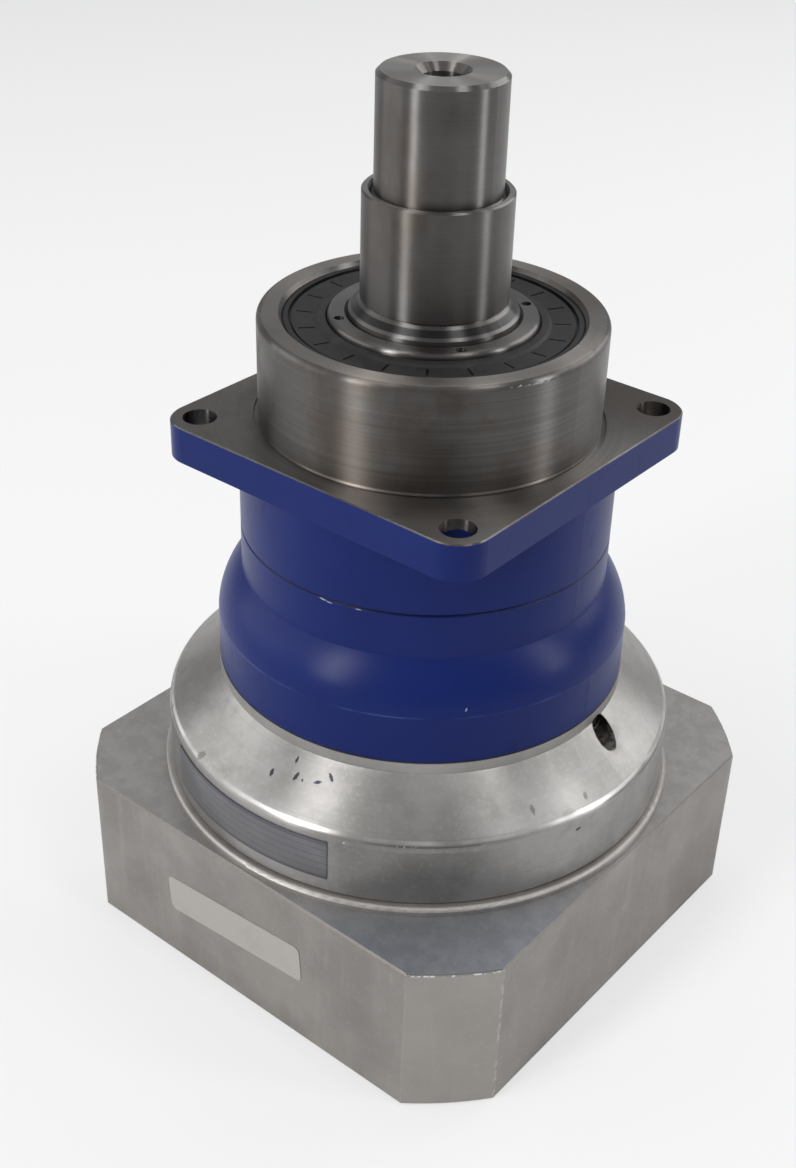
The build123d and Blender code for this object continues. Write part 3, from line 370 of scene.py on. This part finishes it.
def make_paint_coat(paint):
    """Blue satin coat with a little dirt, chips, scratches, a dark seam, and a light line on the
    foot's edge that is worn paint with a painted highlight.
    """
    deep_blue, clear_blue = (0.0028, 0.0095, 0.082), (0.0052, 0.0165, 0.118)
    dirty, chipped, seam_shade = (0.0025, 0.007, 0.048), (0.05, 0.08, 0.24), (0.003, 0.005, 0.018)
    orange_peel = paint.noise(1100, 2.0)
    cloud = paint.noise(30, 3.0)
    dirt = paint.stretched(260, 260, 90, 4.0, 0.6).rises(0.58, 0.76)
    chips = paint.noise(420, 4.0, 0.7).rises(0.745, 0.765)
    seam = abs(paint.z - seam_height).falls(0.15 * mm, 0.5 * mm)
    # Worn paint and painted highlight: a thin light line along the foot's top edge, in places
    foot_edge_wear_and_highlight = (abs(paint.z - foot_top).falls(0.1 * mm, 0.35 * mm)
                 * paint.noise(60, 3.0).rises(0.4, 0.6))
    blue = paint.mix(cloud, deep_blue, clear_blue)
    blue = paint.mix(dirt * 0.25, blue, dirty)
    blue = paint.mix(chips.at_least(foot_edge_wear_and_highlight * 0.5), blue, chipped)
    blue = paint.mix(seam * 0.8, blue, seam_shade)
    blue = paint.mix(paint.marks(paint_scratches) * 0.8, blue, (0.30, 0.33, 0.42))
    rough = orange_peel * 0.1 + dirt * 0.12 + 0.27
    normal = paint.bump(orange_peel * 0.5 - chips, 0.02 * mm, 0.4)
    return paint.shader(blue, rough, 0.0, normal, satin)


def make_bare_metal(paint):
    """Ground steel above the paint, stained, with drips by the pilot, a painted highlight line
    round its foot, and up-facing faces painted lighter as painted highlight.
    """
    dark, light = (0.062, 0.059, 0.057), (0.185, 0.178, 0.171)
    stained, dripped, painted_top_light = (0.082, 0.061, 0.046), (0.065, 0.052, 0.043), (0.32, 0.295, 0.27)
    rings = paint.turned(1900, 12, 3.0)
    stain = paint.noise(42, 5.0, 0.62).rises(0.46, 0.62)
    drips = paint.stretched(120, 120, 16, 3.0).rises(0.52, 0.72)
    near_pilot = paint.radius.falls(pilot_r, pilot_r + 4 * mm)
    pilot_foot_highlight = (paint.radius.falls(pilot_r + 0.2 * mm, pilot_r + 0.4 * mm)
                  * paint.z.rises(flange_face - 0.1 * mm, flange_face + 0.1 * mm)
                  * paint.z.falls(flange_face + 0.4 * mm, flange_face + 0.9 * mm))
    land = paint.z.rises(pilot_land - 0.1 * mm, pilot_land)
    steel = paint.mix(rings * 0.8, dark, light)
    steel = paint.mix(stain * 0.45, steel, stained)
    steel = paint.mix(drips * near_pilot * 0.4, steel, dripped)
    # Painted highlight: a light line round the pilot's foot, on the fillet where it meets the
    # flange face
    steel = paint.mix(pilot_foot_highlight * (0.3 + stain * 0.4), steel, (0.42, 0.37, 0.33))
    # Painted highlight: faces that face up are painted lighter, most on the pilot's land
    steel = paint.mix(paint.faces_up() * (land * 0.3 + 0.12), steel, painted_top_light)
    rough = rings * 0.1 + stain * 0.08 + 0.28
    return paint.shader(steel, rough, 1.0, paint.bump(rings, 0.008 * mm, 0.3), grinding)


def make_blue_paint():
    """Blue paint on the housings, with the output housing's machined faces bare."""
    paint = Finish("blue_paint")
    mixed = paint.node("ShaderNodeMixShader", inputs={
        0: mask_bare_metal(paint), 1: make_paint_coat(paint), 2: make_bare_metal(paint)})
    return paint.finish(mixed)


def mask_access_bore(bell):
    """1 on the access bore's wall, 0 on the cone around it."""
    beside = bell.y * cos(access_turn) - bell.x * sin(access_turn) - access_side
    from_axis = (beside ** 2 + (bell.z - access_height) ** 2) ** 0.5
    wall = from_axis.falls(access_r + 0.1 * mm, access_r + 0.3 * mm)
    return wall * bell.x.rises(20 * mm, 30 * mm)


def make_turned_aluminium():
    """The bell: turned all over, dulled and blotchy, with a shoulder edge that is worn and has a
    painted highlight, a painted shade line under it, a neck painted lighter as painted light, and
    small marks.
    """
    dull, clean, patchy = (0.215, 0.208, 0.198), (0.335, 0.325, 0.315), (0.17, 0.163, 0.155)
    shoulder_line_shade, wear_and_highlight_edge = (0.07, 0.066, 0.062), (0.75, 0.74, 0.73)
    bell = Finish("turned_aluminium")
    rings = bell.turned(1500, 9, 4.0, 0.65)
    coarse_rings = bell.turned(420, 6, 2.0)
    blotch = bell.noise(26, 5.0, 0.6)
    patches = bell.noise(95, 4.0, 0.6).rises(0.52, 0.72)
    speckle = bell.noise(800, 3.0).rises(0.5, 0.7)
    colour = bell.mix(blotch.rises(0.35, 0.68), dull, clean)
    colour = bell.mix(patches * 0.35, colour, patchy)
    colour = bell.mix(rings.rises(0.52, 0.72) * 0.18, colour, (0.14, 0.135, 0.13))
    colour = bell.mix(speckle * 0.12, colour, (0.48, 0.47, 0.46))

    from_shoulder = bell.z - shoulder_height
    # Worn metal and painted highlight: a bright line along the shoulder's edge, in places
    worn = (abs(from_shoulder).falls(0.2 * mm, 0.6 * mm)
            * bell.noise(40, 3.0).rises(0.35, 0.6))
    # Painted shade: a dark line just under the shoulder's edge, in places
    shoulder_shade_line = (abs(from_shoulder + 0.9 * mm).falls(0.1 * mm, 0.3 * mm)
              * bell.noise(33, 3.0).rises(0.45, 0.6))
    colour = bell.mix(worn * 0.6, colour, wear_and_highlight_edge)
    colour = bell.mix(shoulder_shade_line * 0.6, colour, shoulder_line_shade)
    colour = bell.mix(bell.marks(shoulder_ticks, cone_slope) * 0.7, colour, (0.70, 0.69, 0.67))

    # Painted light: the neck's wall under the blue foot is painted lighter
    neck = (bell.radius.falls(neck_r + 0.2 * mm, neck_r + 0.5 * mm)
            * bell.z.rises(neck_bottom - 0.3 * mm, neck_bottom))
    colour = bell.mix(neck * 0.3, colour, (0.50, 0.485, 0.465))
    dirt = bell.noise(500, 3.0).rises(0.4, 0.6) * 0.6 + 0.25
    colour = bell.mix(mask_access_bore(bell) * dirt, colour, (0.045, 0.034, 0.024))
    nicks = bell.marks(cone_nicks, cone_slope)
    smudges = bell.marks(bell_smudges, cone_slope)
    colour = bell.mix(smudges * 0.55, colour, (0.07, 0.06, 0.052))
    colour = bell.mix(nicks * 0.9, colour, (0.012, 0.014, 0.024))
    rough = rings * 0.1 + blotch * 0.12 + patches * 0.08 + 0.22
    height = rings * 0.4 + coarse_rings * 0.25 + bell.noise(500, 3.0) * 0.35 - nicks
    normal = bell.bump(height, 0.03 * mm, 0.4)
    return bell.finish(bell.shader(colour, rough, 0.85, normal, turning))


def wear_plate_edges(plate, colour):
    """Corner faces painted lighter as painted light, painted shade along the side edges, worn edges
    round the corners, and a painted highlight round the boss.
    """
    wear_and_highlight_edge = (0.68, 0.67, 0.65)
    corner = plate.radius.rises(plate_corner_r - 0.3 * mm, plate_corner_r - 0.1 * mm)
    # Painted light: the corner faces are painted lighter than the sides
    colour = plate.mix(corner * 0.35, colour, (0.43, 0.405, 0.38))
    chips = plate.noise(700, 2.0).rises(0.5, 0.56)
    top_wear = abs(plate.z - plate_top + 0.3 * mm).falls(0.2 * mm, 0.5 * mm) * corner
    side = (abs(plate.x) - plate_half).rises(-0.3 * mm, -0.1 * mm)
    upright = abs(plate.radius - plate_corner_r + 0.2 * mm).falls(0.1 * mm, 0.4 * mm) * side
    # Painted shade: a dark line along the top edge of the plate's sides
    side_edge_shade = (plate.z.rises(plate_top - 0.55 * mm, plate_top - 0.45 * mm)
                 * plate.z.falls(plate_top - 0.05 * mm, plate_top) * (1 - corner))
    colour = plate.mix(side_edge_shade * 0.8, colour, (0.12, 0.11, 0.10))
    wear = (top_wear + upright * 0.3).at_most(1)
    colour = plate.mix(wear * (0.35 + chips * 0.6), colour, wear_and_highlight_edge)
    colour = plate.mix(wear * (1 - chips) * 0.5, colour, (0.07, 0.066, 0.062))
    # Painted highlight: a bright line round the boss's rounded edge, in places
    boss_rim_highlight = (abs(plate.z - boss_top + 0.6 * mm).falls(0.2 * mm, 0.7 * mm)
           * plate.noise(30, 3.0).rises(0.35, 0.6))
    return plate.mix(boss_rim_highlight * 0.2, colour, wear_and_highlight_edge)


def make_machined_aluminium():
    """The plate: milled sides with soft upright streaks, a cooler top painted darker than the sides
    as painted shade, and worn corner edges.
    """
    dull, clean, streaky = (0.255, 0.238, 0.224), (0.345, 0.325, 0.305), (0.42, 0.405, 0.38)
    plate = Finish("machined_aluminium")
    grain = plate.noise(900, 4.0, 0.6)
    streaks = plate.stretched(240, 240, 20, 4.0, 0.6)
    blotch = plate.noise(38, 5.0, 0.6)
    smudge = plate.noise(16, 4.0, 0.6).rises(0.46, 0.66)
    flecks = plate.noise(480, 3.0, 0.6).rises(0.58, 0.70)
    dots = plate.noise(230, 1.0).rises(0.80, 0.82)
    colour = plate.mix(blotch.rises(0.3, 0.7), dull, clean)
    colour = plate.mix(streaks.rises(0.5, 0.75) * 0.3, colour, streaky)
    colour = plate.mix(smudge * 0.3, colour, (0.20, 0.187, 0.172))

    mottle = plate.noise(170, 4.0, 0.65).rises(0.38, 0.62)
    # Painted shade: the top face is painted darker than the sides, and cooler at the front
    top_face = (plate.z.rises(plate_top - 0.1 * mm, plate_top - 0.05 * mm)
                * plate.z.falls(plate_top + 0.1 * mm, plate_top + 0.2 * mm))
    front = (plate.x - plate.y).rises(85 * mm, 115 * mm)
    cool = plate.mix(mottle, (0.225, 0.234, 0.255), (0.265, 0.275, 0.298))
    warm = plate.mix(mottle, (0.245, 0.236, 0.229), (0.280, 0.271, 0.263))
    colour = plate.mix(top_face, colour, plate.mix(front, warm, cool))
    colour = plate.mix(flecks * 0.14, colour, (0.50, 0.49, 0.48))
    colour = plate.mix(dots * 0.7, colour, (0.07, 0.06, 0.055))
    colour = wear_plate_edges(plate, colour)
    rough = grain * 0.14 + blotch * 0.12 + 0.36
    normal = plate.bump(grain * 0.5 + streaks * 0.25, 0.06 * mm, 0.4)
    return plate.finish(plate.shader(colour, rough, 0.8, normal))


def make_bright_steel():
    """Polished steel of the bearings, gears and pins."""
    steel = Finish("bright_steel")
    grain = steel.noise(1500, 3.0)
    cloud = steel.noise(120, 3.0)
    colour = steel.mix(cloud, (0.44, 0.45, 0.47), (0.60, 0.61, 0.63))
    rough = grain * 0.1 + cloud * 0.08 + 0.14
    return steel.finish(steel.shader(colour, rough, 1.0, steel.bump(grain, 0.01 * mm, 0.3)))


def make_black_steel():
    """Blackened steel of the screws and rings, worn to grey in places."""
    steel = Finish("black_steel")
    grain = steel.noise(900, 3.0)
    worn = steel.noise(300, 3.0).rises(0.62, 0.8)
    colour = steel.mix(worn * 0.4, (0.035, 0.035, 0.04), (0.16, 0.16, 0.17))
    normal = steel.bump(grain, 0.02 * mm, 0.3)
    return steel.finish(steel.shader(colour, grain * 0.2 + 0.32, 0.9, normal))


def make_seal_rubber():
    """Black rubber with a dusty bloom in patches."""
    rubber = Finish("seal_rubber")
    grain = rubber.noise(1600, 3.0)
    bloom = rubber.noise(180, 4.0, 0.6).rises(0.45, 0.7)
    colour = rubber.mix(bloom * 0.5, (0.016, 0.016, 0.017), (0.040, 0.039, 0.038))
    rough = grain * 0.15 + bloom * 0.15 + 0.42
    normal = rubber.bump(grain, 0.02 * mm, 0.3)
    return rubber.finish(rubber.shader(colour, rough, 0.0, normal, satin))


def make_cage_plastic():
    """Cream plastic of the bearing cages."""
    cage = Finish("cage_plastic")
    grain = cage.noise(900, 3.0)
    colour = cage.mix(grain, (0.62, 0.58, 0.46), (0.70, 0.66, 0.54))
    normal = cage.bump(grain, 0.02 * mm, 0.2)
    return cage.finish(cage.shader(colour, grain * 0.1 + 0.42, 0.0, normal))


def make_label_film():
    """White label film, blank, a little soiled."""
    film = Finish("label_film")
    fibre = film.noise(1800, 3.0)
    soil = film.noise(130, 4.0, 0.6).rises(0.5, 0.75)
    colour = film.mix(soil * 0.2, (0.325, 0.309, 0.288), (0.22, 0.203, 0.18))
    normal = film.bump(fibre, 0.01 * mm, 0.3)
    return film.finish(film.shader(colour, fibre * 0.08 + 0.40, 0.0, normal))


def make_rating_foil():
    """Grey foil with ruled blank fields inside a darker border."""
    foil = Finish("rating_foil")
    grain = foil.noise(1500, 2.0)
    wear = foil.noise(110, 4.0, 0.6).rises(0.5, 0.72)
    from_middle = abs(foil.z - rating_middle)
    half = rating_height / 2
    border = from_middle.rises(half - 1.1 * mm, half - 0.9 * mm)
    inside = from_middle.falls(half - 1.8 * mm, half - 1.5 * mm)
    waves = ((foil.z - rating_bottom) * (2 * pi / rating_rule_pitch)).sine()
    rules = waves.rises(0.93, 0.97) * inside
    colour = foil.mix(grain * 0.5 + wear * 0.5, (0.125, 0.125, 0.134), (0.18, 0.18, 0.19))
    colour = foil.mix(rules.at_least(border) * 0.5, colour, (0.05, 0.055, 0.07))
    rough = grain * 0.12 + wear * 0.18 + 0.3
    return foil.finish(foil.shader(colour, rough, 0.55, foil.bump(grain, 0.01 * mm, 0.3)))


def paint_nodes():
    """Gives each CAD node the finish of its slot."""
    finishes = {
        "machined_aluminium": make_machined_aluminium(),
        "turned_aluminium": make_turned_aluminium(),
        "blue_paint": make_blue_paint(),
        "dark_steel": make_ground_steel(),
        "bright_steel": make_bright_steel(),
        "black_steel": make_black_steel(),
        "seal_rubber": make_seal_rubber(),
        "cage_plastic": make_cage_plastic(),
    }
    slots = {part["node"]: part["material_slot"] for part in frame["record"]["subparts"]}
    for name, node in nodes.items():
        node.data.materials.clear()
        node.data.materials.append(finishes[slots[name]])


# Modelling helpers

def deselect():
    for thing in bpy.context.selected_objects:
        thing.select_set(False)


def choose(piece):
    """Makes a piece the only one that operators act on."""
    deselect()
    bpy.context.view_layer.objects.active = piece
    piece.select_set(True)


def edit(piece):
    choose(piece)
    bpy.ops.object.mode_set(mode="EDIT")


def leave_edit():
    bpy.ops.object.mode_set(mode="OBJECT")


def pick(piece, kind, wanted):
    """Selects the faces or edges that pass a test, in edit mode."""
    bpy.ops.mesh.select_mode(type=kind)
    bpy.ops.mesh.select_all(action="DESELECT")
    leave_edit()
    for part in piece.data.polygons if kind == "FACE" else piece.data.edges:
        part.select = wanted(part)
    bpy.ops.object.mode_set(mode="EDIT")


def turn_faces_outward(piece):
    edit(piece)
    bpy.ops.mesh.select_all(action="SELECT")
    bpy.ops.mesh.normals_make_consistent(inside=False)
    leave_edit()


def apply_modifiers(piece):
    choose(piece)
    for modifier in list(piece.modifiers):
        bpy.ops.object.modifier_apply(modifier=modifier.name)


def settle(piece, finish, body, smooth=30):
    """Puts a piece's place into its mesh, gives it its finish and fixes it to a body."""
    choose(piece)
    bpy.ops.object.transform_apply(location=True, rotation=True, scale=True)
    bpy.ops.object.shade_smooth_by_angle(angle=radians(smooth))
    piece.data.materials.clear()
    piece.data.materials.append(finish)
    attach(piece, body)


# Pieces

def make_label():
    """The blank label on the plate's side, with rounded corners."""
    deselect()
    bpy.ops.mesh.primitive_cube_add(size=1, location=(0, 0, 0))
    label = bpy.context.object
    label.name = "plate_label"
    label.scale = label_size
    bpy.ops.object.transform_apply(location=False, rotation=False, scale=True)

    def runs_through(edge):
        ends = [label.data.vertices[i].co for i in edge.vertices]
        return abs(ends[0].y - ends[1].y) > 0.5 * label_size[1]

    edit(label)
    pick(label, "EDGE", runs_through)
    bpy.ops.mesh.bevel(offset=label_corner_r, segments=6)
    leave_edit()
    label.rotation_euler = (0, label_tilt, 0)
    label.location = label_middle
    settle(label, make_label_film(), "housing")


def make_rating_plate():
    """The foil rating plate, bent round the bell's skirt."""
    deselect()
    bpy.ops.mesh.primitive_cylinder_add(
        vertices=360, radius=skirt_r + foil_gap, depth=rating_height, end_fill_type="NOTHING",
        location=(0, 0, rating_middle))
    foil = bpy.context.object
    foil.name = "rating_plate"

    def is_past_the_foil(face):
        return not rating_start < atan2(face.center.y, face.center.x) < rating_end

    edit(foil)
    pick(foil, "FACE", is_past_the_foil)
    bpy.ops.mesh.delete(type="FACE")
    leave_edit()
    turn_faces_outward(foil)
    thickness = foil.modifiers.new("Solidify", "SOLIDIFY")
    thickness.thickness = foil_thickness
    thickness.offset = 1
    bevel = foil.modifiers.new("Bevel", "BEVEL")
    bevel.width = foil_bevel
    bevel.segments = 2
    apply_modifiers(foil)
    settle(foil, make_rating_foil(), "housing")


def make_thread(name, thread, place, body, carrier):
    """A screw thread's ridges in a drilled hole of a CAD node, in that node's finish."""
    deselect()
    bpy.ops.mesh.primitive_circle_add(
        vertices=3, radius=thread["ridge"] * 0.8, fill_type="NGON",
        location=(thread["hole_r"] - thread["ridge"] * 0.25, 0, 0), rotation=(pi / 2, 0, 0))
    ridge = bpy.context.object
    ridge.name = name
    bpy.ops.object.transform_apply(location=True, rotation=True, scale=True)
    edit(ridge)
    bpy.ops.mesh.delete(type="ONLY_FACE")
    leave_edit()
    screw = ridge.modifiers.new("Screw", "SCREW")
    screw.screw_offset = thread["pitch"]
    screw.iterations = int(thread["length"] / thread["pitch"])
    screw.steps = thread_steps
    screw.render_steps = thread_steps
    screw.use_merge_vertices = True
    screw.merge_threshold = 0.01 * mm
    apply_modifiers(ridge)
    turn_faces_outward(ridge)
    ridge.matrix_world = place
    settle(ridge, nodes[carrier].data.materials[0], body, 45)


def make_threads():
    turned = Matrix.Rotation(access_turn, 4, "Z")
    bore_start = turned @ Vector((access_start, access_side, access_height))
    along_bore = turned @ Matrix.Rotation(pi / 2, 4, "Y")
    # The bore's place is turned once in bore_start, and its direction once in along_bore
    make_thread("access_bore_thread", access_thread, Matrix.Translation(bore_start) @ along_bore,
                "housing", "input_bell")
    make_thread("shaft_centre_thread", centre_thread,
                Matrix.Translation((0, 0, centre_thread_bottom)), "output", "output_shaft")


# Studio

def make_floor():
    """A pale floor that keeps the object's shadow, and shows near white to the camera."""
    deselect()
    bpy.ops.mesh.primitive_plane_add(size=floor_width, location=(0, 0, -floor_gap))
    floor = bpy.context.object
    floor.name = "floor"
    pale = Finish("floor_paint")
    diffuse = pale.node("ShaderNodeBsdfDiffuse", inputs={"Color": floor_grey})
    white = pale.node("ShaderNodeEmission", inputs={"Color": (1.0, 1.0, 1.0), "Strength": 1.0})
    mixed = pale.node("ShaderNodeMixShader", inputs={
        0: pale.seen() * floor_whitening, 1: diffuse, 2: white})
    floor.data.materials.append(pale.finish(mixed))


def place_lamp(name, turn, distance, height, size, watts):
    angle = radians(turn)
    place = Vector((distance * cos(angle), distance * sin(angle), height))
    lamp = bpy.data.lights.new(name, "AREA")
    lamp.shape = "RECTANGLE"
    lamp.size, lamp.size_y = size
    lamp.energy = watts
    holder = bpy.data.objects.new(name, lamp)
    bpy.context.scene.collection.objects.link(holder)
    holder.location = place
    holder.rotation_euler = (lamp_target - place).to_track_quat("-Z", "Y").to_euler()


def light_studio():
    """Soft lamps round the object, in a pale room that the camera sees as near white."""
    for lamp in lamps:
        place_lamp(*lamp)
    world = bpy.data.worlds.new("studio")
    bpy.context.scene.world = world
    world.use_nodes = True
    room = Nodes(world.node_tree)
    sky, white = (
        room.node("ShaderNodeBackground", inputs={"Color": colour, "Strength": strength})
        for colour, strength in ((sky_colour, sky_strength), (background_colour, 1.0)))
    mixed = room.node("ShaderNodeMixShader", inputs={0: room.seen(), 1: sky, 2: white})
    room.node("ShaderNodeOutputWorld", inputs={"Surface": mixed})


def add_camera():
    """The camera at the photograph's viewing angle."""
    level = cos(camera_rise)
    back = Vector((sin(camera_turn) * level, -cos(camera_turn) * level, sin(camera_rise)))
    right = Vector((cos(camera_turn), sin(camera_turn), 0))
    up = back.cross(right)
    rolled_right = right * cos(camera_roll) + up * sin(camera_roll)
    rolled_up = up * cos(camera_roll) - right * sin(camera_roll)
    data = bpy.data.cameras.new("camera")
    data.sensor_width = 36
    data.lens = camera_lens
    data.clip_start = 0.01
    camera = bpy.data.objects.new("camera", data)
    bpy.context.scene.collection.objects.link(camera)
    axes = Matrix((rolled_right, rolled_up, back)).transposed()
    camera.matrix_world = Matrix.Translation(camera_place) @ axes.to_4x4()
    bpy.context.scene.camera = camera


paint_nodes()
make_label()
make_rating_plate()
make_threads()
make_floor()
light_studio()
add_camera()
bpy.context.scene.view_settings.view_transform = "Standard"
